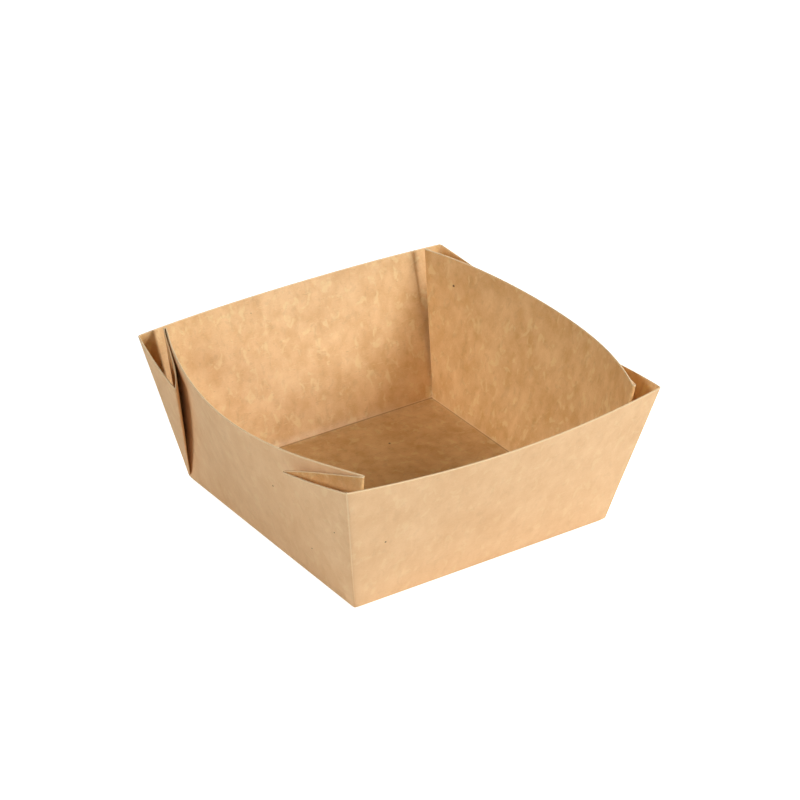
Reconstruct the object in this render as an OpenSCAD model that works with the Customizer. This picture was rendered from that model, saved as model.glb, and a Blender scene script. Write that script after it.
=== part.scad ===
// Folded kraft snack tray
// One sheet of board: a square base, four bowed walls, and at each corner a web that is
// folded in half and laid against the outside of the side wall.
// The origin is at the middle of the base, on the table, with +Z up and the front towards -Y.

/* [Board] */
// Thickness of the board
board_t = 0.45; // [0.3:0.05:0.8]
// Width of the rounded bead that a pressed crease leaves on the inside
crease_w = 0.7; // [0.4:0.05:1.2]
// Clear width inside the soft turn at the folded edge of a web
fold_gap = 0.4; // [0.1:0.05:0.9]

/* [Base] */
// Side of the square base between its creases
base_side = 100; // [70:1:160]

/* [Walls] */
// Slant height of a wall from its crease to its free edge
wall_slant = 54; // [36:1:80]
// Angle by which the ends of a wall flare in the flat blank
flare_angle = 11.2; // [6:0.2:14]
// How far the middle of the front and back rims stands outside the base
front_lean = 17.7; // [14:0.1:22]
// How far the middle of the side rims stands outside the base
side_lean = 16.3; // [12:0.1:19]

/* [Corners] */
// How far the ends of the front and back rims stand outside the base
front_end_lean = 12.4; // [11:0.1:15]
// How far the ends of the front and back rims run past the base, along the wall
front_end_run = 11.5; // [9:0.1:13]
// How far the ends of the side rims stand outside the base
side_end_lean = 2.8; // [1:0.1:4]
// How far the ends of the side rims run past the base, along the wall
side_end_run = 8.7; // [5:0.1:10]
// Distance of the folded edge's top from the base corner, along the side wall
tip_inset = 17.5; // [12:0.1:22]
// Height of the folded edge's top, as a share of the side wall's height there
tip_rise = 0.9; // [0.8:0.01:0.95]
// How far the folded edge's top stands off the side wall
tip_standoff = 3.5; // [1:0.1:6]
// How closely the web's inner half hugs the side wall before it leaves it for the folded edge
web_hug = 4; // [2:0.5:6]
// How far the web's outer half bows away from the tray
outer_bow = 0.5; // [0:0.1:1.5]

/* [Hidden] */

kraft = [0.78, 0.61, 0.42];

// Facets along half a wall, along half a web, round a turn, and round the base crease
half_cols = 14;
web_cols = 6;
turn_cols = 4;
crease_rows = 3;
// Heights of the rows of facets on the walls, as shares of the slant height
web_start = 0.06;
pocket_start = 0.25;
heights = [web_start, pocket_start, 0.5, 0.75, 1];
// Turn of each facet round the base crease
crease_step = 35;

half = base_side / 2;
mid_t = board_t / 2;
flare_run = wall_slant * tan(flare_angle);
// Two layers pressed on each other are this far apart, from middle to middle
layer_pitch = board_t + 0.1;
fold_r = mid_t + fold_gap / 2;
// The side wall ends this far short of the base corner, where the layers would crowd
tuck = 1.8 * board_t;
// The base crease ends at this share of the slant height
crease_top = 2 * crease_w / wall_slant;

function unit(v) = v / norm(v);
function mix(a, b, f) = a + (b - a) * f;

// Leans and run of a wall's rim: [middle lean, end lean, end run]
front_form = [front_lean, front_end_lean, front_end_run];
side_form = [side_lean, side_end_lean, side_end_run];

// Rim of the back wall in the tray's frame, at s from 0 in its middle to 1 at its end.
// Each straight line up the wall keeps the length that it has in the flat blank.
function rim_point(form, s) =
    let (
        run = form[2] * s,
        out = mix(form[0], form[1], s * s),
        slant = norm([wall_slant, flare_run * s])
    )
    [half * s + run, half + out, mid_t + sqrt(slant * slant - run * run - out * out)];

// The same for the right-hand wall, where X and Y change places
function side_rim_point(s) = let (p = rim_point(side_form, s)) [p[1], p[0], p[2]];

corner = [half, half, mid_t];
front_rim_end = rim_point(front_form, 1);
side_rim_end = side_rim_point(1);

// The side wall's end and the directions outward and onward from it
side_foot = corner - [0, tuck, 0];
side_up = side_rim_end - side_foot;
side_out = unit(cross(side_rim_end - side_rim_point(0.9), side_up));
side_on = unit(cross(side_up, side_out));

// Rim of the web's inner half, at f from 0 at the folded edge to 1 at the side wall's end
tip_s = (half - tip_inset) / (half + side_end_run * tip_rise);
function inner_rim(f) =
    let (s = mix(tip_s, 1, f))
    mix([half, half * s, mid_t], side_rim_point(s), mix(tip_rise, 1, f))
        + side_out * layer_pitch + [tip_standoff * pow(1 - f, web_hug), 0, 0];

// The folded edge: its foot, its top, and the directions outward and back to the creases
crease_ends = mix(front_rim_end, side_rim_end, 0.5);
fold_out = unit(cross(crease_ends - corner, inner_rim(0) - corner));
fold_foot = side_foot + [layer_pitch + fold_r, -fold_r, 0];
fold_top = inner_rim(0) + fold_out * fold_r;
fold_back = unit(cross(fold_top - fold_foot, fold_out));

// The sheet is a chain of straight lines up the board, each from a foot to the rim, from the
// middle of the back wall round the corner to the middle of the right-hand wall
back_lines = [
    for (i = [0:half_cols])
        let (s = i / half_cols)
        [[half * s, half, mid_t], rim_point(front_form, s)]
];
outer_web_lines = [
    for (i = [1:web_cols - 1])
        let (f = i / web_cols, bow = 4 * f * (1 - f) * outer_bow)
        [
            mix(corner, fold_foot + fold_out * fold_r, f),
            mix(front_rim_end, fold_top + fold_out * fold_r, f) + fold_out * bow
        ]
];
fold_lines = [
    for (i = [0:turn_cols])
        let (a = 180 * i / turn_cols, arc = (fold_out * cos(a) - fold_back * sin(a)) * fold_r)
        [fold_foot + arc, fold_top + arc]
];
inner_web_lines = [
    for (i = [1:web_cols - 1])
        let (f = i / web_cols)
        [mix(fold_foot - fold_out * fold_r, side_foot + side_out * layer_pitch, f), inner_rim(f)]
];
turn_lines = [
    for (i = [0:turn_cols])
        let (
            a = 180 * i / turn_cols,
            arc = (side_out * (1 + cos(a)) + side_on * sin(a)) * layer_pitch / 2
        )
        [side_foot + arc, side_rim_end + arc]
];
side_lines = [
    for (i = [1:half_cols])
        let (s = 1 - i / half_cols)
        [[half, (half - tuck) * s, mid_t], side_rim_point(s)]
];
lines = concat(
    back_lines, outer_web_lines, fold_lines, inner_web_lines, turn_lines, side_lines
);

// Places in the chain: the corner crease, the folded edge, the side wall's end, the last line
crease_k = half_cols;
fold_k = crease_k + web_cols;
inner_k = fold_k + turn_cols;
turn_k = inner_k + web_cols;
side_k = turn_k + turn_cols;
last_k = side_k + half_cols;

// Middle of the board on line k at t of its height; past its ends the chain is mirrored
function board_point(k, t) =
    k < 0 ? let (p = board_point(-k, t)) [-p[0], p[1], p[2]] :
    k > last_k ? let (p = board_point(2 * last_k - k, t)) [p[0], -p[1], p[2]] :
    mix(lines[k][0], lines[k][1], t);

// One skin of the board on line k, half a thickness in (side 0) or out (side 1)
function skin_point(side, k, t) =
    let (
        p = board_point(k, t),
        up = lines[k][1] - lines[k][0],
        before = unit(cross(up, p - board_point(k - 1, t))),
        after = unit(cross(up, board_point(k + 1, t) - p))
    )
    p + (before + after) / (1 + before * after) * mid_t * (2 * side - 1);

// One skin round the base crease, where all the lines of a corner share one point
function crease_point(side, row, k) =
    let (
        a = row * crease_step,
        top = row == crease_rows,
        t = top ? crease_top : 0,
        end_x = mix(corner, side == 1 ? front_rim_end : side_rim_end, t)[0],
        end_y = mix(corner, front_rim_end, t)[1],
        p = k < crease_k || k > side_k ? board_point(k, t) : [end_x, end_y, mid_t],
        bead = side == 1
            ? [mid_t * sin(a), mid_t * (1 - cos(a))]
            : [-mid_t - crease_w * cos(a), board_t + crease_w * sin(a)],
        out = top ? mid_t * (2 * side - 1) : bead[0],
        z = top ? mid_t + crease_top * wall_slant : bead[1]
    )
    [p[0] + (k < crease_k ? 0 : out), p[1] + (k > side_k ? 0 : out), z];

rows = crease_rows + 1 + len(heights);
web_row = crease_rows + 1;
pocket_row = web_row + 1;
ring = 4 * last_k;

function tray_point(side, row, k) =
    row <= crease_rows
        ? crease_point(side, row, k)
        : skin_point(side, k, heights[row - web_row]);

// The quarters alternate: each is the mirror image of the one before it
function quarter_sign(q) = [q < 2 ? 1 : -1, q % 3 == 0 ? 1 : -1, 1];
function ring_place(q, k) = (q % 2 == 0 ? q * last_k + k : (q + 1) * last_k - k) % ring;
function place(q, side, row, k) =
    let (shared = row <= crease_rows && k > crease_k && k <= side_k)
    (side * rows + row) * ring + ring_place(q, shared ? crease_k : k);

// Two triangles, or one where two of the four points are the same
function patch(turned, a, b, c, d) =
    let (p = turned ? [d, c, b, a] : [a, b, c, d])
    [
        if (p[0] != p[1]) [p[0], p[1], p[2]],
        if (p[2] != p[3]) [p[0], p[2], p[3]]
    ];
function turned(q, side) = (q + side) % 2 == 0;

// A strip of facets between two rows, over a list of places in the chain
function band(q, side, row, ks) = [
    for (i = [0:len(ks) - 2])
        each patch(turned(q, side),
            place(q, side, row, ks[i]), place(q, side, row, ks[i + 1]),
            place(q, side, row + 1, ks[i + 1]), place(q, side, row + 1, ks[i]))
];

// Facets from one place to a run of others in the same row
function fan(q, side, row, hub, from, to) = [
    for (k = [from:to - 1])
        each patch(turned(q, side),
            place(q, side, row, hub), place(q, side, row, hub),
            place(q, side, row, k + 1), place(q, side, row, k))
];

all_ks = [for (k = [0:last_k]) k];
base_ks = [for (k = all_ks) if (k <= crease_k || k > side_k) k];
// Below the webs the outer skin runs from the folded edge straight to the side wall, and
// below the pocket the inner skin runs from the back wall straight to the side wall's turn
fold_mid = fold_k + turn_cols / 2;
turn_mid = turn_k + turn_cols / 2;
outer_ks = [for (k = all_ks) if (k <= fold_mid || k > side_k) k];
inner_ks = [for (k = all_ks) if (k <= crease_k || k >= turn_mid) k];

function skin_faces(q, side) = concat(
    [for (row = [0:crease_rows - 1]) each band(q, side, row, base_ks)],
    band(q, side, crease_rows, side == 1 ? outer_ks : inner_ks),
    band(q, side, web_row, side == 1 ? all_ks : inner_ks),
    [for (row = [pocket_row:rows - 2]) each band(q, side, row, all_ks)]
);

// Floor of the slit between the side wall and the web's inner half
function slit_floor(q) = fan(q, 1, web_row, side_k + 1, fold_mid, side_k);

// Floor of the pocket between the two halves of the web
function pocket_floor(q) = concat(
    [
        for (i = [0:web_cols - 1])
            let (a = crease_k + i, b = turn_k - i)
            each patch(turned(q, 0),
                place(q, 0, pocket_row, b), place(q, 0, pocket_row, b - 1),
                place(q, 0, pocket_row, a + 1), place(q, 0, pocket_row, a))
    ],
    fan(q, 0, pocket_row, fold_k, fold_k + 1, inner_k),
    fan(q, 0, pocket_row, crease_k, turn_k, turn_mid)
);

function rim_faces(q) = [
    for (k = [0:last_k - 1])
        each patch(turned(q, 1),
            place(q, 1, rows - 1, k), place(q, 1, rows - 1, k + 1),
            place(q, 0, rows - 1, k + 1), place(q, 0, rows - 1, k))
];

function base_faces(q, side) =
    let (middle = 2 * rows * ring + side)
    [
        for (i = [0:len(base_ks) - 2])
            each patch(turned(q, side), middle, middle,
                place(q, side, 0, base_ks[i + 1]), place(q, side, 0, base_ks[i]))
    ];

module tray() {
    points = concat(
        [
            for (side = [0, 1], row = [0:rows - 1], c = [0:ring - 1])
                let (
                    q = floor(c / last_k),
                    k = q % 2 == 0 ? c - q * last_k : (q + 1) * last_k - c,
                    p = tray_point(side, row, k),
                    way = quarter_sign(q)
                )
                [p[0] * way[0], p[1] * way[1], p[2]]
        ],
        [[0, 0, board_t], [0, 0, 0]]
    );
    faces = [
        for (q = [0:3])
            each concat(
                skin_faces(q, 0), skin_faces(q, 1), slit_floor(q), pocket_floor(q),
                rim_faces(q), base_faces(q, 0), base_faces(q, 1)
            )
    ];
    color(kraft) polyhedron(points = points, faces = faces, convexity = 6);
}

tray();
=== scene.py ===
# %% [markdown]
# # A folded kraft snack tray
#
# The object is one sheet of kraft board, lined on the inside, creased flat and folded up into
# an open tray. It has a square base, four walls that lean out and bow, and at each corner a
# web: a triangle of board between two walls that is folded in half and laid against the
# outside of the side wall, like the corner of a neatly wrapped present.
#
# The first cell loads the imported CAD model. It is the frame: it gives the size and the place,
# and everything made below has to stay inside its box.

# %% Load the frame
import math

import bpy
from mathutils import Matrix, Vector


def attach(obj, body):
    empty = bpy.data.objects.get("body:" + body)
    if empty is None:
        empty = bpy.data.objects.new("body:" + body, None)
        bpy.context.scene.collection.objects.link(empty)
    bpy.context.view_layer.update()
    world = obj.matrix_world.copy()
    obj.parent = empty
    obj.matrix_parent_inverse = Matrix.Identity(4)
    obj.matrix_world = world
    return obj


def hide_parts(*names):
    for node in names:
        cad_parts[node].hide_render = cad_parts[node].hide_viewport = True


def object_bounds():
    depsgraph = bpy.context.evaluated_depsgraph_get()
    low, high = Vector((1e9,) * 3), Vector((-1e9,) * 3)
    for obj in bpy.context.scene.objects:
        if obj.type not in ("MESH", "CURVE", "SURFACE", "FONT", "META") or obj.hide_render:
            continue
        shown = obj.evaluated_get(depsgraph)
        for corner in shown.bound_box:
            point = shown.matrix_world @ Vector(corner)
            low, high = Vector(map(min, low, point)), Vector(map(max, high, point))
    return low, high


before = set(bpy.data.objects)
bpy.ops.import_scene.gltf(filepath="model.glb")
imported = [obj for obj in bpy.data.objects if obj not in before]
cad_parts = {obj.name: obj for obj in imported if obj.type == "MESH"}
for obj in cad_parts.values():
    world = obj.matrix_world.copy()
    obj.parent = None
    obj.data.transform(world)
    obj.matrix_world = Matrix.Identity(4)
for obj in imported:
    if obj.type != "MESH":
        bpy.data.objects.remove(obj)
cad_box = [list(corner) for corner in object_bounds()]
print("CAD box, mm:", [[round(v * 1000, 1) for v in corner] for corner in cad_box])

# %% [markdown]
# ## The camera
#
# The photograph was taken with a long lens, so the tray hardly tapers towards the back. The
# camera is given as a photographer would note it: the direction that it looks from, its
# distance, its lens, and a slight tilt to one side. `aim` is the point on the picture's middle
# line, measured across and up from the tray's origin as the camera sees it.

# %% Place the camera
camera_azimuth = math.radians(-34.74)
camera_elevation = math.radians(29.03)
camera_roll = math.radians(0.51)
camera_distance = 1.2327
camera_lens_mm = 165.3
aim = (0.0016, 0.0332)

towards_camera = Vector((
    math.sin(camera_azimuth) * math.cos(camera_elevation),
    -math.cos(camera_azimuth) * math.cos(camera_elevation),
    math.sin(camera_elevation),
))
level = Vector((0, 0, 1)).cross(towards_camera).normalized()
upright = towards_camera.cross(level)
right = level * math.cos(camera_roll) + upright * math.sin(camera_roll)
up = upright * math.cos(camera_roll) - level * math.sin(camera_roll)
camera_place = right * aim[0] + up * aim[1] + towards_camera * camera_distance

camera = bpy.data.objects.new("camera", bpy.data.cameras.new("camera"))
camera.data.sensor_width = 36
camera.data.lens = camera_lens_mm
camera.matrix_world = Matrix.Translation(camera_place) @ Matrix(
    (right, up, towards_camera)
).transposed().to_4x4()
bpy.context.collection.objects.link(camera)
bpy.context.scene.camera = camera
print("camera at", [round(v, 3) for v in camera_place])

# %% [markdown]
# ## The sizes of the sheet
#
# These are the sizes that the CAD model was built from, in metres. A wall's rim is described
# by three numbers: how far its middle leans out, how far its ends lean out, and how far the
# ends run past the base. The webs are described by where the top of their folded edge lies.

# %% Name the sizes
board = 0.00045
base_side = 0.100
wall_slant = 0.054
flare_angle = math.radians(11.2)
front_wall = {"lean": 0.0177, "end_lean": 0.0124, "end_run": 0.0115}
side_wall = {"lean": 0.0163, "end_lean": 0.0028, "end_run": 0.0087}
tip_inset, tip_rise, tip_standoff = 0.0175, 0.9, 0.0035
web_hug, outer_bow = 4, 0.0005
fold_gap = 0.0004
layer_pitch = board + 0.0001
fold_radius = (board + fold_gap) / 2
tuck = 1.8 * board
crease_radius = 0.0005
pressed = 0.3

half = base_side / 2
middle_height = board / 2
flare_run = wall_slant * math.tan(flare_angle)
print("base", base_side * 1000, "mm, board", board * 1000, "mm")

# %% [markdown]
# ## The sheet as a chain of straight lines
#
# A folded sheet is a ruled surface: wherever one looks, there is a straight line up the board
# from the base to the cut edge. So the shape needs no modelling by eye. It is enough to know
# where each of these lines starts and ends. Below, one quarter of the tray is walked, from the
# middle of the back wall, round the corner with its folded web, to the middle of the side wall.
#
# First come the rims. Each line keeps the length that it had in the flat blank, and that fixes
# how high it ends once it is known how far it leans.

# %% Where the rims run
def mix(a, b, share):
    return a + (b - a) * share


def rim_point(wall, s):
    """A point on the back wall's rim, at s from 0 in its middle to 1 at its end."""
    run = wall["end_run"] * s
    out = mix(wall["lean"], wall["end_lean"], s * s)
    slant = math.hypot(wall_slant, flare_run * s)
    height = math.sqrt(slant**2 - run**2 - out**2)
    return Vector((half * s + run, half + out, middle_height + height))


def side_rim_point(s):
    p = rim_point(side_wall, s)
    return Vector((p.y, p.x, p.z))


corner = Vector((half, half, middle_height))
front_rim_end = rim_point(front_wall, 1)
side_rim_end = side_rim_point(1)
print("rim heights, mm:", round(front_rim_end.z * 1000, 1), round(side_rim_end.z * 1000, 1))

# %% [markdown]
# Next come the directions at the two folds of the web. At the side wall's end the board turns
# back on itself and is pressed flat, so the two layers lie one board thickness apart. At the
# web's free edge it turns softly, over a small radius, and stands a few millimetres off the
# bowed side wall. That leaves the wedge-shaped gap that makes these trays easy to recognise.
# At the foot of the corner all layers meet in one point of the base, and the folding tool has
# pressed them together, so there every step between layers is only `pressed` times as deep.

# %% Where the web folds
side_foot = corner - Vector((0, tuck, 0))
side_up = side_rim_end - side_foot
side_out = (side_rim_end - side_rim_point(0.9)).cross(side_up).normalized()
side_on = side_up.cross(side_out).normalized()
tip_s = (half - tip_inset) / (half + side_wall["end_run"] * tip_rise)


def inner_rim(f):
    """Rim of the web's inner half, from the folded edge (0) to the side wall's end (1)."""
    s = mix(tip_s, 1, f)
    foot = Vector((half, half * s, middle_height))
    along_wall = mix(foot, side_rim_point(s), mix(tip_rise, 1, f))
    return along_wall + side_out * layer_pitch + Vector((tip_standoff * (1 - f) ** web_hug, 0, 0))


crease_ends = mix(front_rim_end, side_rim_end, 0.5)
fold_out = (crease_ends - corner).cross(inner_rim(0) - corner).normalized()
fold_foot = side_foot + Vector((layer_pitch + fold_radius, -fold_radius, 0)) * pressed
fold_top = inner_rim(0) + fold_out * fold_radius
fold_back = (fold_top - fold_foot).cross(fold_out).normalized()
for end, point in (("foot", fold_foot), ("top", fold_top)):
    print("folded edge,", end, "at, mm:", [round(v * 1000, 1) for v in point])

# %% [markdown]
# Now the chain itself. Every line is a dictionary with where it starts on the base crease and
# which way it rises from there, where its straight part is aimed from (`foot`), where it ends
# (`rim`), how close it is to a pressed crease, and whether it runs through layers of a corner.
# In the corner all lines start from one point and rise together, because there all the creases
# of the blank meet. The number of lines per stretch is chosen so that the tightest turns are
# still round when seen close up.

# %% Walk the chain
wall_lines, web_lines, fold_lines, turn_lines, bend_lines = 40, 22, 12, 8, 6


def wall_line(foot, rim, start):
    return {
        "start": start, "rise": rim - start, "foot": foot, "rim": rim,
        "crease": 0.0, "layered": 0.0,
    }


def corner_line(foot, rim, crease=0.0):
    return {
        "start": corner, "rise": front_rim_end - corner, "foot": foot, "rim": rim,
        "crease": crease, "layered": 1.0,
    }


def bend(before, middle, after, share):
    """A point on the small round that a crease makes between two stretches."""
    return mix(mix(before, middle, share), mix(middle, after, share), share)


back_part = []
for i in range(wall_lines):
    s = i / wall_lines * (1 - 2 * crease_radius / half)
    start = Vector((half * s, half, middle_height))
    back_part.append(wall_line(start, rim_point(front_wall, s), start))

outer_web = []
for i in range(web_lines + 1):
    f = i / web_lines
    bow = fold_out * outer_bow * 4 * f * (1 - f)
    outer_web.append(corner_line(
        mix(corner, fold_foot + fold_out * fold_radius * pressed, f),
        mix(front_rim_end, fold_top + fold_out * fold_radius, f) + bow,
    ))

fold_part = []
for i in range(1, fold_lines):
    a = math.pi * i / fold_lines
    arc = (fold_out * math.cos(a) - fold_back * math.sin(a)) * fold_radius
    fold_part.append(corner_line(fold_foot + arc * pressed, fold_top + arc))

inner_web = []
for i in range(web_lines):
    f = i / web_lines
    foot = mix(
        fold_foot - fold_out * fold_radius * pressed,
        side_foot + side_out * layer_pitch * pressed, f,
    )
    inner_web.append(corner_line(foot, inner_rim(f)))

turn_part = []
for i in range(turn_lines + 1):
    a = math.pi * i / turn_lines
    arc = (side_out * (1 + math.cos(a)) + side_on * math.sin(a)) * layer_pitch / 2
    turn_part.append(corner_line(side_foot + arc * pressed, side_rim_end + arc))

side_part = []
for i in range(1, wall_lines + 1):
    s = 1 - i / wall_lines
    side_part.append(wall_line(
        Vector((half, (half - tuck) * s, middle_height)),
        side_rim_point(s),
        Vector((half, half * s, middle_height)),
    ))

# %% [markdown]
# The crease between the back wall and the web is rounded by blending the last of one into the
# first of the other. Its lines are marked as a crease, so that the bead can be raised there
# and the colour made paler, partly as wear and partly as a painted highlight along the fold.

# %% Round the corner crease and join the chain
wall_before = {
    "foot": corner - Vector((crease_radius, 0, 0)),
    "rim": rim_point(front_wall, 1 - crease_radius / half),
}
web_step = outer_web[1]["rim"] - outer_web[0]["rim"]
web_share = crease_radius / web_step.length / web_lines
web_after = {end: mix(outer_web[0][end], outer_web[-1][end], web_share) for end in ("foot", "rim")}
crease_part = []
for i in range(bend_lines + 1):
    share = i / bend_lines
    crease_part.append(corner_line(
        bend(wall_before["foot"], corner, web_after["foot"], share),
        bend(wall_before["rim"], front_rim_end, web_after["rim"], share),
        math.sin(math.pi * share),
    ))
chain = back_part + crease_part + outer_web[1:] + fold_part + inner_web + turn_part + side_part
print(len(chain), "lines in a quarter of the sheet")

# %% [markdown]
# The chain is handed to Geometry Nodes as a mesh of loose points, one per line, with the rest
# of the line stored on the point as attributes.

# %% Store the chain on a guide mesh
guide_mesh = bpy.data.meshes.new("tray_sheet_guide")
guide_mesh.from_pydata([ruled["start"] for ruled in chain], [], [])
for name in ("rise", "foot", "rim"):
    stored = guide_mesh.attributes.new(name, "FLOAT_VECTOR", "POINT")
    stored.data.foreach_set("vector", [value for ruled in chain for value in ruled[name]])
for name in ("crease", "layered"):
    stored = guide_mesh.attributes.new(name, "FLOAT", "POINT")
    stored.data.foreach_set("value", [ruled[name] for ruled in chain])
guide = bpy.data.objects.new("tray_sheet_guide", guide_mesh)
bpy.context.collection.objects.link(guide)

# %% [markdown]
# ## Node trees in a few words of code
#
# Both the sheet and its materials are node trees. `add_node` makes one node and fills its
# inputs: a plain value is typed in, and the output of another node is linked. The two short
# helpers after it do arithmetic on numbers and on vectors.

# %% Helpers for node trees
def add_node(tree, kind, inputs=None, **settings):
    node = tree.nodes.new(kind)
    for name, value in settings.items():
        setattr(node, name, value)
    for name, value in (inputs or {}).items():
        if isinstance(value, bpy.types.NodeSocket):
            tree.links.new(value, node.inputs[name])
        else:
            node.inputs[name].default_value = value
    return node


def maths(tree, operation, *values):
    inputs = dict(enumerate(values))
    return add_node(tree, "ShaderNodeMath", inputs, operation=operation).outputs[0]


def vectors(tree, operation, *values):
    inputs = {("Scale" if operation == "SCALE" and i == 1 else i): v for i, v in enumerate(values)}
    return add_node(tree, "ShaderNodeVectorMath", inputs, operation=operation).outputs[0]


def blend(tree, a, b, share):
    """A vector part of the way from a to b."""
    return vectors(tree, "ADD", a, vectors(tree, "SCALE", vectors(tree, "SUBTRACT", b, a), share))


# %% [markdown]
# ## The folded board in Geometry Nodes
#
# The tree is named `folded board`. Its inputs are the sizes that someone might want to change:
# how fine the grid is, how thick the board is, how tight its creases are, how high a bead they
# raise on the inside, and how much the walls wave.

# %% Start the tree and name its inputs
tree = bpy.data.node_groups.new("folded board", "GeometryNodeTree")
tree.is_modifier = True
tree.interface.new_socket("Chain", in_out="INPUT", socket_type="NodeSocketGeometry")
tree.interface.new_socket("Board", in_out="OUTPUT", socket_type="NodeSocketGeometry")
input_ids = {}
for name, kind in (
    ("Rows on the base", "Int"), ("Rows round the crease", "Int"), ("Rows up the wall", "Int"),
    ("Half base", "Float"), ("Slant height", "Float"), ("Board thickness", "Float"),
    ("Crease reach", "Float"), ("Bead height", "Float"), ("Web start", "Float"),
    ("Pressed", "Float"), ("Waviness", "Float"),
    ("Outside", "Material"), ("Inside", "Material"), ("Cut edge", "Material"),
):
    socket = tree.interface.new_socket(name, in_out="INPUT", socket_type="NodeSocket" + kind)
    input_ids[name] = socket.identifier
given = tree.nodes.new("NodeGroupInput").outputs
print("tree inputs:", ", ".join(input_ids))

# %% [markdown]
# The grid has one column for each line of the chain. Its rows run from the middle of the base
# out to the crease, round the crease, and up the wall to the cut edge. Each point works out
# its own column and row from its index, and from the row two shares: how far it still is
# towards the middle of the base, and how far it already is up the wall. Round the crease both
# fall away as cubes, which gives a crisp but not a knife-sharp fold. Towards the rim the rows
# move closer together, so that smooth shading rounds the cut edge and nothing else.

# %% Lay out the grid
crease_end = maths(tree, "ADD", given["Rows on the base"], given["Rows round the crease"])
last_row = maths(tree, "ADD", crease_end, given["Rows up the wall"])
row_count = maths(tree, "ADD", last_row, 1)
line_count = add_node(
    tree, "GeometryNodeAttributeDomainSize", {"Geometry": given["Chain"]}, component="MESH"
).outputs["Point Count"]
grid = add_node(tree, "GeometryNodeMeshGrid", {"Vertices X": line_count, "Vertices Y": row_count})

index = tree.nodes.new("GeometryNodeInputIndex").outputs[0]
column = maths(tree, "FLOOR", maths(tree, "DIVIDE", maths(tree, "ADD", index, 0.5), row_count))
row = maths(tree, "SUBTRACT", index, maths(tree, "MULTIPLY", column, row_count))


def stretch_share(first, last):
    """0 before a stretch of rows, 1 after it, and rising evenly on it."""
    inputs = {"Value": row, "From Min": first, "From Max": last}
    return add_node(tree, "ShaderNodeMapRange", inputs).outputs[0]


on_base = stretch_share(0.0, given["Rows on the base"])
on_crease = stretch_share(given["Rows on the base"], crease_end)
still_to_rim = maths(tree, "SUBTRACT", 1, stretch_share(crease_end, last_row))
on_wall = maths(tree, "SUBTRACT", 1, maths(tree, "POWER", still_to_rim, 1.6))
base_reach = maths(tree, "DIVIDE", given["Crease reach"], given["Half base"])
wall_reach = maths(tree, "DIVIDE", given["Crease reach"], given["Slant height"])
off_crease = maths(tree, "SUBTRACT", 1, on_crease)
towards_middle = maths(
    tree, "MULTIPLY_ADD",
    maths(tree, "SUBTRACT", 1, on_base), maths(tree, "SUBTRACT", 1, base_reach),
    maths(tree, "MULTIPLY", base_reach, maths(tree, "POWER", off_crease, 3)),
)
up_wall = maths(
    tree, "MULTIPLY_ADD", on_wall, maths(tree, "SUBTRACT", 1, wall_reach),
    maths(tree, "MULTIPLY", wall_reach, maths(tree, "POWER", on_crease, 3)),
)

# %% [markdown]
# Each point now reads its line from the chain with Sample Index, and takes its place on it.
# Just above the base crease it follows `rise`, which the lines of a corner share, and from
# there up to `Web start` it moves over to the straight line from `foot` to `rim`. The base is
# the same grid, pulled towards the middle. Walked this way round, the faces of the grid look
# into the tray, so they are flipped to look out.

# %% Put every point of the grid on its line
def sampled(name, kind="FLOAT_VECTOR"):
    stored = add_node(tree, "GeometryNodeInputNamedAttribute", {"Name": name}, data_type=kind)
    inputs = {"Geometry": given["Chain"], "Value": stored.outputs[0], "Index": column}
    return add_node(tree, "GeometryNodeSampleIndex", inputs, data_type=kind).outputs[0]


start = sampled("position")
rising = vectors(tree, "ADD", start, vectors(tree, "SCALE", sampled("rise"), up_wall))
on_line = blend(tree, sampled("foot"), sampled("rim"), up_wall)
spread = add_node(tree, "ShaderNodeMapRange", {
    "Value": up_wall, "From Min": wall_reach, "From Max": given["Web start"],
}).outputs[0]
on_sheet = blend(tree, rising, on_line, spread)
base_middle = add_node(
    tree, "ShaderNodeCombineXYZ", {"Z": maths(tree, "MULTIPLY", given["Board thickness"], 0.5)}
).outputs[0]
to_middle = vectors(tree, "SCALE", vectors(tree, "SUBTRACT", base_middle, start), towards_middle)
placed = add_node(tree, "GeometryNodeSetPosition", {
    "Geometry": grid.outputs["Mesh"], "Position": vectors(tree, "ADD", on_sheet, to_middle),
})
facing_out = add_node(tree, "GeometryNodeFlipFaces", {"Mesh": placed.outputs[0]})

# %% [markdown]
# Each point also remembers four things. `crease` is how close it is to a crease, from 0 to 1:
# the bead is raised by it, and later the material reads it. `thinned` is how thick the board is
# there, which is less only at the pressed foot of a corner. `up_wall` is how far up it lies,
# from which the material finds the cut rim, and `round_fold` is how far it has come round the
# base crease, which lets the material paint a shade line and a highlight line on one side of
# that crease only.

# %% Remember creases, thickness and height
base_crease = maths(tree, "MULTIPLY", maths(tree, "MULTIPLY", on_crease, off_crease), 4)
corner_crease = maths(tree, "MULTIPLY", sampled("crease", "FLOAT"), spread)
marked = add_node(tree, "GeometryNodeStoreNamedAttribute", {
    "Geometry": facing_out.outputs[0], "Name": "crease",
    "Value": maths(tree, "MAXIMUM", base_crease, corner_crease),
}, data_type="FLOAT", domain="POINT")
regained = add_node(tree, "ShaderNodeMapRange", {
    "Value": up_wall, "From Max": 0.7, "To Min": given["Pressed"],
}).outputs[0]
thinned = maths(tree, "SUBTRACT", 1, maths(
    tree, "MULTIPLY", sampled("layered", "FLOAT"), maths(tree, "SUBTRACT", 1, regained),
))
for name, value in (("thinned", thinned), ("up_wall", up_wall), ("round_fold", on_crease)):
    marked = add_node(tree, "GeometryNodeStoreNamedAttribute", {
        "Geometry": marked.outputs[0], "Name": name, "Value": value,
    }, data_type="FLOAT", domain="POINT")

# %% [markdown]
# The quarter is mirrored twice. Mirroring turns a face inside out, so the copies are flipped
# back, and where the quarters meet their points are merged.

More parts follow.
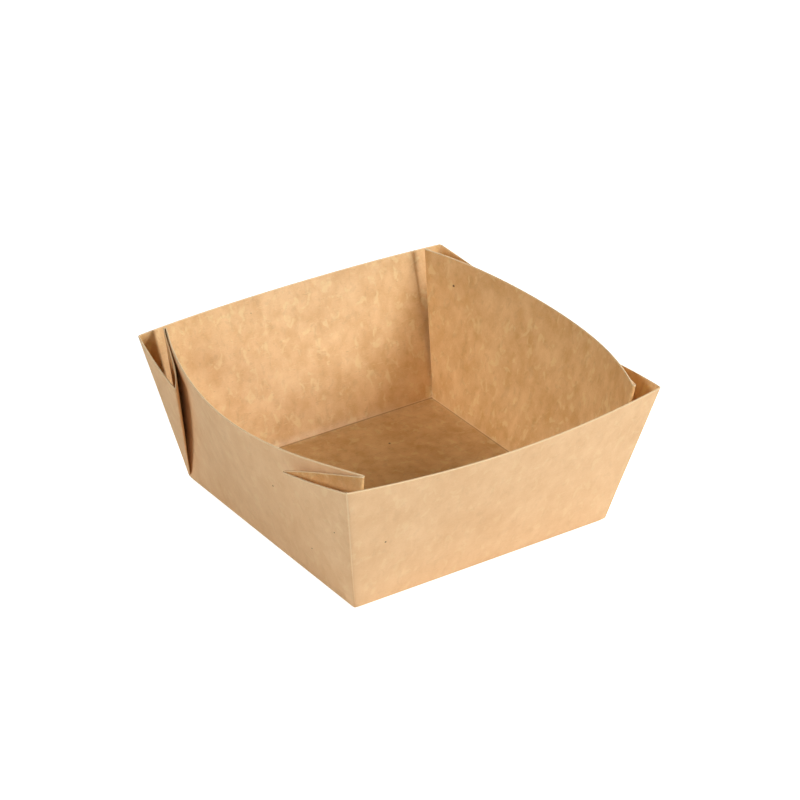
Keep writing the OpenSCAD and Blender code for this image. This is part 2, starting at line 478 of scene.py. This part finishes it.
# %% Mirror the quarter to the whole sheet
def with_mirror_image(geometry, scale):
    mirrored = add_node(tree, "GeometryNodeTransform", {"Geometry": geometry, "Scale": scale})
    flipped = add_node(tree, "GeometryNodeFlipFaces", {"Mesh": mirrored.outputs[0]})
    joined = tree.nodes.new("GeometryNodeJoinGeometry")
    for part in (flipped.outputs[0], geometry):
        tree.links.new(part, joined.inputs[0])
    return joined.outputs[0]


half_sheet = with_mirror_image(marked.outputs[0], (1, -1, 1))
whole_sheet = with_mirror_image(half_sheet, (-1, 1, 1))
merge_distance = 0.000002
closed_sheet = add_node(
    tree, "GeometryNodeMergeByDistance", {"Geometry": whole_sheet, "Distance": merge_distance}
).outputs[0]

# %% [markdown]
# No sheet of board is quite flat. A soft noise moves the walls inwards by up to a few tenths
# of a millimetre, so that they stay inside the CAD box, and leaves the base alone, because the
# tray stands on it. The creases are pushed inwards by the height of their bead.

# %% Wave the walls and press the creases
facing = tree.nodes.new("GeometryNodeInputNormal").outputs[0]
place = tree.nodes.new("GeometryNodeInputPosition").outputs[0]
wave_size, flat_below = 0.028, 0.012
wave = add_node(tree, "ShaderNodeTexNoise", {
    "Vector": place, "Scale": 1 / wave_size, "Detail": 1.0, "Roughness": 0.4,
}, noise_dimensions="3D").outputs[0]
height = add_node(tree, "ShaderNodeSeparateXYZ", {0: place}).outputs["Z"]
free = add_node(tree, "ShaderNodeMapRange", {"Value": height, "From Max": flat_below}).outputs[0]
wave_move = maths(tree, "MULTIPLY", wave, maths(tree, "MULTIPLY", given["Waviness"], free))
crease_here = add_node(
    tree, "GeometryNodeInputNamedAttribute", {"Name": "crease"}, data_type="FLOAT"
).outputs[0]
inwards = maths(tree, "MULTIPLY_ADD", crease_here, given["Bead height"], wave_move)
shaped = add_node(tree, "GeometryNodeSetPosition", {
    "Geometry": closed_sheet,
    "Offset": vectors(tree, "SCALE", facing, maths(tree, "MULTIPLY", inwards, -1)),
}).outputs[0]

# %% [markdown]
# So far the sheet has no thickness. Its middle and its direction are captured on each point,
# the inner skin is set half a thickness in, and Extrude Mesh raises the outer skin and the cut
# edge from it. The flipped inner skin closes the shape. The tray stands on a table, so no point
# goes below it, and none goes above the CAD box.

# %% Give the board its thickness
captured = tree.nodes.new("GeometryNodeCaptureAttribute")
captured.capture_items.new("VECTOR", "middle")
captured.capture_items.new("VECTOR", "facing")
tree.links.new(shaped, captured.inputs["Geometry"])
tree.links.new(place, captured.inputs["middle"])
tree.links.new(facing, captured.inputs["facing"])
thinned_here = add_node(
    tree, "GeometryNodeInputNamedAttribute", {"Name": "thinned"}, data_type="FLOAT"
).outputs[0]
half_thick = vectors(
    tree, "SCALE", captured.outputs["facing"],
    maths(tree, "MULTIPLY", maths(tree, "MULTIPLY", given["Board thickness"], 0.5), thinned_here),
)
inner_skin = add_node(tree, "GeometryNodeSetPosition", {
    "Geometry": captured.outputs["Geometry"],
    "Position": vectors(tree, "SUBTRACT", captured.outputs["middle"], half_thick),
}).outputs[0]
raised = add_node(
    tree, "GeometryNodeExtrudeMesh",
    {"Mesh": inner_skin, "Offset Scale": board, "Individual": False}, mode="FACES",
)
outer_skin = add_node(tree, "GeometryNodeSetPosition", {
    "Geometry": raised.outputs["Mesh"], "Selection": raised.outputs["Top"],
    "Position": vectors(tree, "ADD", captured.outputs["middle"], half_thick),
}).outputs[0]
lining = add_node(tree, "GeometryNodeFlipFaces", {"Mesh": inner_skin}).outputs[0]
thick = tree.nodes.new("GeometryNodeJoinGeometry")
for part in (lining, outer_skin):
    tree.links.new(part, thick.inputs[0])
closed = add_node(
    tree, "GeometryNodeMergeByDistance", {"Geometry": thick.outputs[0], "Distance": merge_distance}
).outputs[0]
above_table = vectors(tree, "MAXIMUM", place, (-1, -1, 0))
standing = add_node(tree, "GeometryNodeSetPosition", {
    "Geometry": closed, "Position": vectors(tree, "MINIMUM", above_table, (1, 1, cad_box[1][2])),
}).outputs[0]

# %% [markdown]
# Last, the three finishes: the lining inside, plain kraft outside, and the pale cut edge.

# %% Set the materials and end the tree
board_out = add_node(tree, "GeometryNodeRealizeInstances", {"Geometry": standing}).outputs[0]
for name, selection in (
    ("Inside", True), ("Outside", raised.outputs["Top"]), ("Cut edge", raised.outputs["Side"]),
):
    board_out = add_node(tree, "GeometryNodeSetMaterial", {
        "Geometry": board_out, "Selection": selection, "Material": given[name],
    }).outputs[0]
smooth = add_node(tree, "GeometryNodeSetShadeSmooth", {"Geometry": board_out})
tree.links.new(smooth.outputs[0], tree.nodes.new("NodeGroupOutput").inputs[0])
print(len(tree.nodes), "nodes in the tree")

# %% [markdown]
# ## Kraft board as a material
#
# Kraft is unbleached wood pulp. Close up it is never one colour: the pulp lies in soft clouds,
# with paler and darker flecks where fibres bunch, single long fibres, and here and there a dark
# speck of bark. All of it is made from noise at the size that each of these has on real board,
# read from Object coordinates, so that it runs on without a seam over folds and edges.

# %% Helpers for colour and noise
def srgb(red, green, blue):
    """A colour as a picture editor shows it, turned into the light values that a shader uses."""
    def linear(value):
        value /= 255
        return value / 12.92 if value <= 0.04045 else ((value + 0.055) / 1.055) ** 2.4
    return (linear(red), linear(green), linear(blue), 1.0)


def noise(tree, place, size, detail=2.0, low=0.35, high=0.65, distortion=0.0):
    """Soft noise whose features are `size` metres wide, spread from 0 at low to 1 at high."""
    raw = add_node(tree, "ShaderNodeTexNoise", {
        "Vector": place, "Scale": 1 / size, "Detail": detail, "Distortion": distortion,
    }).outputs[0]
    return add_node(
        tree, "ShaderNodeMapRange", {"Value": raw, "From Min": low, "From Max": high}
    ).outputs[0]


def fibres(tree, place, turn, length, width, low, high):
    """Noise drawn out into thin strands along one direction."""
    turned = add_node(tree, "ShaderNodeMapping", {
        "Vector": place, "Rotation": [math.radians(a) for a in turn],
        "Scale": (1 / length, 1 / width, 1 / width),
    }).outputs[0]
    raw = add_node(tree, "ShaderNodeTexNoise", {
        "Vector": turned, "Scale": 1.0, "Detail": 1.0, "Distortion": 0.4,
    }).outputs[0]
    return add_node(
        tree, "ShaderNodeMapRange", {"Value": raw, "From Min": low, "From Max": high}
    ).outputs[0]


def mix_colour(tree, a, b, share):
    node = add_node(tree, "ShaderNodeMix", {0: share, 6: a, 7: b}, data_type="RGBA")
    return node.outputs[2]


# %% [markdown]
# The specks that the photograph shows are put where they are, each with its own size. A few
# more come from a cell pattern in which only some cells hold a speck.

# %% Specks of bark
def named_specks(tree, place, specks):
    """1 inside the specks of a list of (place, radius), 0 elsewhere."""
    found = None
    for centre, radius in specks:
        away = add_node(
            tree, "ShaderNodeVectorMath", {0: place, 1: centre}, operation="DISTANCE"
        ).outputs["Value"]
        inside = add_node(tree, "ShaderNodeMapRange", {
            "Value": away, "From Min": radius * 1.5, "From Max": radius * 0.8,
        }).outputs[0]
        found = inside if found is None else maths(tree, "MAXIMUM", found, inside)
    return found


def scattered_specks(tree, place, spacing, radius, share):
    cells = add_node(tree, "ShaderNodeTexVoronoi", {"Vector": place, "Scale": 1 / spacing})
    lucky = maths(
        tree, "LESS_THAN",
        add_node(tree, "ShaderNodeSeparateColor", {0: cells.outputs["Color"]}).outputs[0], share,
    )
    inside = add_node(tree, "ShaderNodeMapRange", {
        "Value": cells.outputs["Distance"],
        "From Min": radius * 1.5 / spacing, "From Max": radius * 0.4 / spacing,
    }).outputs[0]
    return maths(tree, "MULTIPLY", inside, lucky)


# %% [markdown]
# One function makes both faces of the board, because they differ only in their numbers. The
# outside is bare, matt and even. The inside carries a thin clear lining that keeps grease out.
# It gives the board a faint sheen and a warmer tone, and lets its clouds show more. On both
# faces the last third of a millimetre below the rim is pale, partly as pulp that the die crushed
# and partly as a painted highlight for the light that catches the rim. Along a crease the colour
# is made pale, partly as wear of the stretched face and partly as a painted highlight along the
# fold. Inside the base crease the face gets a painted shade line in the valley and a painted
# highlight line beside it.

# %% Make the two faces
# Pale pulp for the cut edge and for the painted highlight just under the rim.
pale_pulp_and_rim_highlight = srgb(255, 227, 182)
# Colour for crease wear, with a painted highlight along the fold.
crease_wear_and_highlight_colour = srgb(255, 232, 192)
# Dark colour for the painted shade line in the valley of the base crease.
painted_crease_shade = srgb(150, 84, 34)
bark_brown = srgb(74, 34, 12)
rim_paling_from, rim_paling_full = 0.00038, 0.00016
shade_line_place, shade_line_width = 0.45, 0.32
highlight_line_place, highlight_line_width = 0.82, 0.14


def on_sheet_value(tree, name):
    """A value that the sheet's points carry."""
    return add_node(
        tree, "ShaderNodeAttribute", attribute_name=name, attribute_type="GEOMETRY"
    ).outputs["Fac"]


def line_at(tree, value, middle, half_width):
    """1 where the value is `middle`, falling to 0 at half_width on both sides of it."""
    away = maths(tree, "ABSOLUTE", maths(tree, "SUBTRACT", value, middle))
    inputs = {"Value": away, "From Min": half_width, "From Max": half_width * 0.4}
    return add_node(tree, "ShaderNodeMapRange", inputs).outputs[0]


def kraft_face(name, dark, light, contrast, fleck, roughness, gloss, crease_paling, painted_crease_lines, specks):
    material = bpy.data.materials.new(name)
    material.use_nodes = True
    tree = material.node_tree
    shader = tree.nodes["Principled BSDF"]
    place = tree.nodes.new("ShaderNodeTexCoord").outputs["Object"]

    low, high = 0.5 - contrast, 0.5 + contrast
    drawn_up = add_node(
        tree, "ShaderNodeMapping", {"Vector": place, "Scale": (1, 1, 0.7)}
    ).outputs[0]
    clouds = noise(tree, place, 0.0105, detail=3.0, low=low, high=high)
    mottle = noise(tree, drawn_up, 0.0040, detail=4.0, low=low, high=high, distortion=0.35)
    grain = noise(tree, place, 0.00060, detail=2.0, low=0.25, high=0.75)
    tone = maths(tree, "MULTIPLY_ADD", clouds, 0.4, maths(tree, "MULTIPLY", mottle, 0.4))
    tone = maths(tree, "MULTIPLY_ADD", grain, 0.2, tone)
    colour = mix_colour(tree, dark, light, tone)

    pale = tuple(min(1.0, value * 1.14) for value in light[:3]) + (1.0,)
    brown = tuple(value * 0.62 for value in dark[:3]) + (1.0,)
    flecks = noise(tree, drawn_up, 0.0032, detail=2.5, low=0.57, high=0.67, distortion=0.6)
    colour = mix_colour(tree, colour, pale, maths(tree, "MULTIPLY", flecks, fleck))
    dark_flecks = noise(tree, drawn_up, 0.0024, detail=2.5, low=0.43, high=0.33, distortion=0.6)
    colour = mix_colour(tree, colour, brown, maths(tree, "MULTIPLY", dark_flecks, fleck * 0.3))
    strands = maths(
        tree, "MAXIMUM",
        fibres(tree, place, (10, 35, 40), 0.0032, 0.00022, 0.66, 0.76),
        fibres(tree, place, (50, -20, -35), 0.0026, 0.00020, 0.67, 0.77),
    )
    colour = mix_colour(tree, colour, pale, maths(tree, "MULTIPLY", strands, fleck))
    threads = fibres(tree, place, (-30, 60, 80), 0.0024, 0.00020, 0.69, 0.78)
    colour = mix_colour(tree, colour, brown, maths(tree, "MULTIPLY", threads, fleck))

    # Along creases the colour goes pale: partly wear of the stretched board, partly a painted
    # highlight along the fold.
    crease = on_sheet_value(tree, "crease")
    crease_wear_and_highlight = maths(tree, "MULTIPLY", crease, crease_paling)
    colour = mix_colour(tree, colour, crease_wear_and_highlight_colour, crease_wear_and_highlight)
    round_fold = on_sheet_value(tree, "round_fold")
    # Painted highlight: a pale line beside the valley of the base crease.
    painted_highlight_line = line_at(tree, round_fold, highlight_line_place, highlight_line_width)
    colour = mix_colour(tree, colour, light, maths(tree, "MULTIPLY", painted_highlight_line, painted_crease_lines * 0.6))
    # Painted shade: a dark line in the valley of the base crease, where the bead would throw
    # shade.
    painted_shade_line = line_at(tree, round_fold, shade_line_place, shade_line_width)
    colour = mix_colour(tree, colour, painted_crease_shade, maths(tree, "MULTIPLY", painted_shade_line, painted_crease_lines * 0.7))
    # Painted highlight: the band just under the rim is made paler, partly as crushed pulp and
    # partly for the light that catches the rim.
    crushed_and_highlit_rim = add_node(tree, "ShaderNodeMapRange", {
        "Value": on_sheet_value(tree, "up_wall"),
        "From Min": 1 - rim_paling_from / wall_slant, "From Max": 1 - rim_paling_full / wall_slant,
    }).outputs[0]
    colour = mix_colour(tree, colour, pale_pulp_and_rim_highlight, maths(tree, "MULTIPLY", crushed_and_highlit_rim, 0.9))

    bark = scattered_specks(tree, place, 0.017, 0.00016, 0.4)
    if specks:
        bark = maths(tree, "MAXIMUM", bark, named_specks(tree, place, specks))
    colour = mix_colour(tree, colour, bark_brown, maths(tree, "MULTIPLY", bark, 0.92))
    tree.links.new(colour, shader.inputs["Base Color"])

    pulp = maths(tree, "MULTIPLY_ADD", mottle, 0.6, grain)
    relief = maths(tree, "MULTIPLY_ADD", strands, 0.5, pulp)
    bump = add_node(
        tree, "ShaderNodeBump", {"Height": relief, "Strength": 0.35, "Distance": 0.00004}
    )
    tree.links.new(bump.outputs[0], shader.inputs["Normal"])
    shader.inputs["Roughness"].default_value = roughness
    shader.inputs["Specular IOR Level"].default_value = gloss
    return material


outside_specks = [
    ((-0.0433, -0.0575, 0.0267), 0.00026),
    ((-0.0587, -0.0513, 0.0321), 0.00022),
    ((-0.0531, -0.0301, 0.0138), 0.00020),
    ((-0.0595, -0.0172, 0.0328), 0.00024),
]
inside_specks = [
    ((0.0192, 0.0315, 0.0004), 0.00032),
    ((0.0558, 0.0462, 0.0446), 0.00034),
]
kraft_outside = kraft_face(
    "kraft_outside", srgb(234, 190, 141), srgb(252, 214, 168), contrast=0.22, fleck=0.25,
    roughness=0.88, gloss=0.25, crease_paling=0.95, painted_crease_lines=0.0, specks=outside_specks,
)
kraft_inside = kraft_face(
    "kraft_lined_inside", srgb(222, 173, 109), srgb(254, 214, 157), contrast=0.16, fleck=0.5,
    roughness=0.48, gloss=0.65, crease_paling=0.1, painted_crease_lines=0.75, specks=inside_specks,
)
print("made", kraft_outside.name, "and", kraft_inside.name)

# %% [markdown]
# The cut edge shows the inside of the board. It is paler than the faces, because a fresh cut
# scatters more light, and it has fine layers of pulp. Its colour is also pushed paler, as a
# painted highlight for the light that falls on the rim from above.

# %% Make the cut edge
cut_edge = bpy.data.materials.new("kraft_cut_edge")
cut_edge.use_nodes = True
edge_tree = cut_edge.node_tree
edge_place = edge_tree.nodes.new("ShaderNodeTexCoord").outputs["Object"]
pulp = noise(edge_tree, edge_place, 0.0007, detail=3.0, low=0.3, high=0.7)
# The cut edge's pale colour is partly its own and partly a painted highlight for light from above.
edge_colour = mix_colour(edge_tree, srgb(255, 219, 172), pale_pulp_and_rim_highlight, pulp)
edge_shader = edge_tree.nodes["Principled BSDF"]
edge_tree.links.new(edge_colour, edge_shader.inputs["Base Color"])
edge_shader.inputs["Roughness"].default_value = 0.95
edge_shader.inputs["Specular IOR Level"].default_value = 0.2
print("made", cut_edge.name)

# %% [markdown]
# ## Make the sheet
#
# The tree goes on the guide as a modifier, and its inputs are set through their identifiers.
# The result is then turned into a plain mesh, because the modifier and the guide aren't
# needed any more and the export wants a mesh that stands by itself.

# %% Fold the board
modifier = guide.modifiers.new("folded board", "NODES")
modifier.node_group = bpy.data.node_groups["folded board"]
for name, value in {
    "Rows on the base": 14, "Rows round the crease": 12, "Rows up the wall": 34,
    "Half base": half, "Slant height": wall_slant, "Board thickness": board,
    "Crease reach": 0.0010, "Bead height": 0.00028, "Web start": 0.04, "Pressed": pressed,
    "Waviness": 0.00025,
    "Outside": kraft_outside, "Inside": kraft_inside, "Cut edge": cut_edge,
}.items():
    modifier[input_ids[name]] = value
depsgraph = bpy.context.evaluated_depsgraph_get()
sheet_mesh = bpy.data.meshes.new_from_object(guide.evaluated_get(depsgraph), depsgraph=depsgraph)
sheet_mesh.name = "tray_sheet"
bpy.data.objects.remove(guide)
sheet_mesh.materials.pop(index=0)  # the grid's own empty slot

tray_sheet = bpy.data.objects.new("tray_sheet", sheet_mesh)
bpy.context.collection.objects.link(tray_sheet)
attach(tray_sheet, "root")
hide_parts("tray")
print(len(sheet_mesh.polygons), "faces,", [m.name for m in sheet_mesh.materials])

# %% [markdown]
# ## The studio
#
# The tray stands on a white table. To the camera the table is a clean white on which the
# tray's soft shadow still shows; for the light that reaches the tray it is ordinary white
# board, because its bounce fills the undersides of the leaning walls.

# %% Lay the table
def seen_or_lit_by(tree, seen, lit_by):
    """One shader for the camera's own view, another for all the light that bounces."""
    camera_ray = tree.nodes.new("ShaderNodeLightPath").outputs["Is Camera Ray"]
    choice = add_node(tree, "ShaderNodeMixShader", {0: camera_ray})
    tree.links.new(lit_by, choice.inputs[1])
    tree.links.new(seen, choice.inputs[2])
    return choice.outputs[0]


table_mesh = bpy.data.meshes.new("studio_table")
reach = 3.0
table_mesh.from_pydata(
    [(-reach, -reach, 0), (reach, -reach, 0), (reach, reach, 0), (-reach, reach, 0)],
    [], [(0, 1, 2, 3)],
)
table = bpy.data.objects.new("studio_table", table_mesh)
bpy.context.collection.objects.link(table)

table_white = bpy.data.materials.new("table_white")
table_white.use_nodes = True
tree = table_white.node_tree
tree.nodes.remove(tree.nodes["Principled BSDF"])
matt = add_node(tree, "ShaderNodeBsdfDiffuse", {"Color": (0.9, 0.9, 0.9, 1)})
lift = add_node(tree, "ShaderNodeEmission", {"Strength": 0.75})
seen = tree.nodes.new("ShaderNodeAddShader")
tree.links.new(matt.outputs[0], seen.inputs[0])
tree.links.new(lift.outputs[0], seen.inputs[1])
surface = seen_or_lit_by(tree, seen.outputs[0], matt.outputs[0])
tree.links.new(surface, tree.nodes["Material Output"].inputs["Surface"])
table_mesh.materials.append(table_white)

# %% [markdown]
# Three soft boxes light the tray. The main one stands to the right of the camera, so low that
# the front and right walls keep it off the base. The second stands low at the left, for the
# outside of the left wall and the inside of the right one. The third stands low behind the
# tray at the right. It lights the outsides of the back and right walls, and the insides of the
# near walls, which throw it back warm. The room adds a faint even light, and hardly any light
# comes from above. That is why the base is so much darker and redder than the walls in the
# photograph: nearly all its light has first bounced off other kraft.

# %% Set the lights
def soft_box(name, azimuth, elevation, distance, width, height, power):
    lamp = bpy.data.lights.new(name, "AREA")
    lamp.shape, lamp.size, lamp.size_y, lamp.energy = "RECTANGLE", width, height, power
    box = bpy.data.objects.new(name, lamp)
    turn, rise = math.radians(azimuth), math.radians(elevation)
    direction = Vector((
        math.sin(turn) * math.cos(rise), -math.cos(turn) * math.cos(rise), math.sin(rise),
    ))
    box.location = direction * distance
    box.rotation_euler = direction.to_track_quat("Z", "Y").to_euler()
    bpy.context.collection.objects.link(box)
    print(name, "of", power, "W at", [round(v, 2) for v in box.location])


soft_box("main_light", 29, 26, 2.0, 0.5, 0.7, 27.5)
soft_box("left_light", -76, 29, 2.0, 0.7, 0.5, 17)
soft_box("back_light", 135, 22, 2.0, 1.6, 0.5, 29)

world = bpy.data.worlds.new("studio")
bpy.context.scene.world = world
world.use_nodes = True
tree = world.node_tree
room = tree.nodes["Background"]
room.inputs["Strength"].default_value = 0.125
backdrop = add_node(tree, "ShaderNodeBackground", {"Color": (1, 1, 1, 1), "Strength": 1.0})
surface = seen_or_lit_by(tree, backdrop.outputs[0], room.outputs[0])
tree.links.new(surface, tree.nodes["World Output"].inputs["Surface"])
bpy.context.scene.view_settings.view_transform = "Standard"
